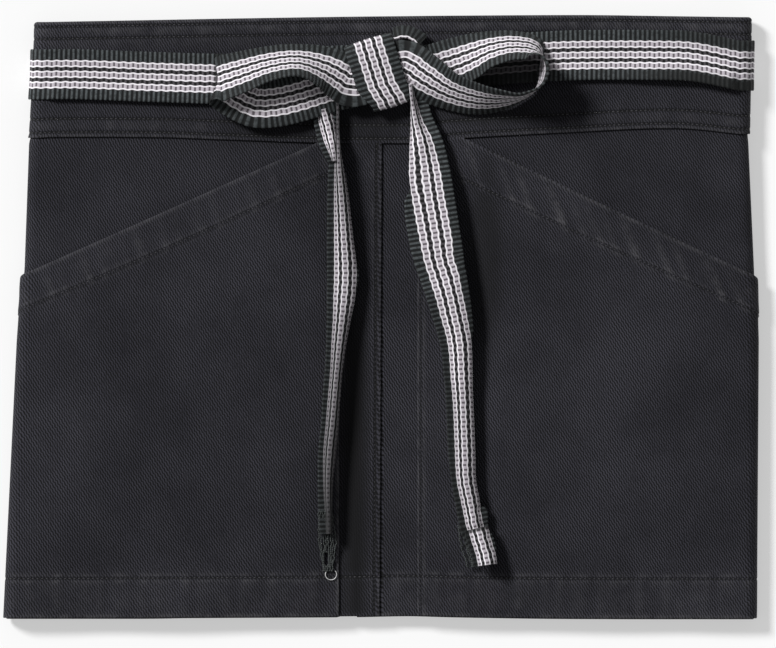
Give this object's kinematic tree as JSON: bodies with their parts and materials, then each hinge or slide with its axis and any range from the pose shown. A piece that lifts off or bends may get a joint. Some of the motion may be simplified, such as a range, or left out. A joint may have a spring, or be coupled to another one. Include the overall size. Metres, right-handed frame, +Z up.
{
  "type": "waist apron",
  "caption": "Short waist apron of charcoal twill with slanting patch pockets and a striped webbing belt tied in a bow, lying folded.",
  "frame": {"origin": "centre of the apron's outline, on the surface it lies on", "axes": "+X towards the apron's side on the right of the picture, +Y from the hem towards the waistband, +Z up from the surface"},
  "size_m": [0.378, 0.3012, 0.0405],
  "materials": {
    "twill": "washed charcoal cotton twill, matte",
    "webbing": "ribbed webbing, black-green ground with three pale ladder stripes"
  },
  "bodies": {
    "root": {"left_panel": "twill", "right_panel": "twill", "left_pocket": "twill", "right_pocket": "twill", "waistband": "twill", "belt": "webbing", "left_loop": "webbing", "right_loop": "webbing", "knot": "webbing", "knot_tuck": "webbing", "left_tail": "webbing", "right_tail": "webbing"}
  },
  "joints": []
}
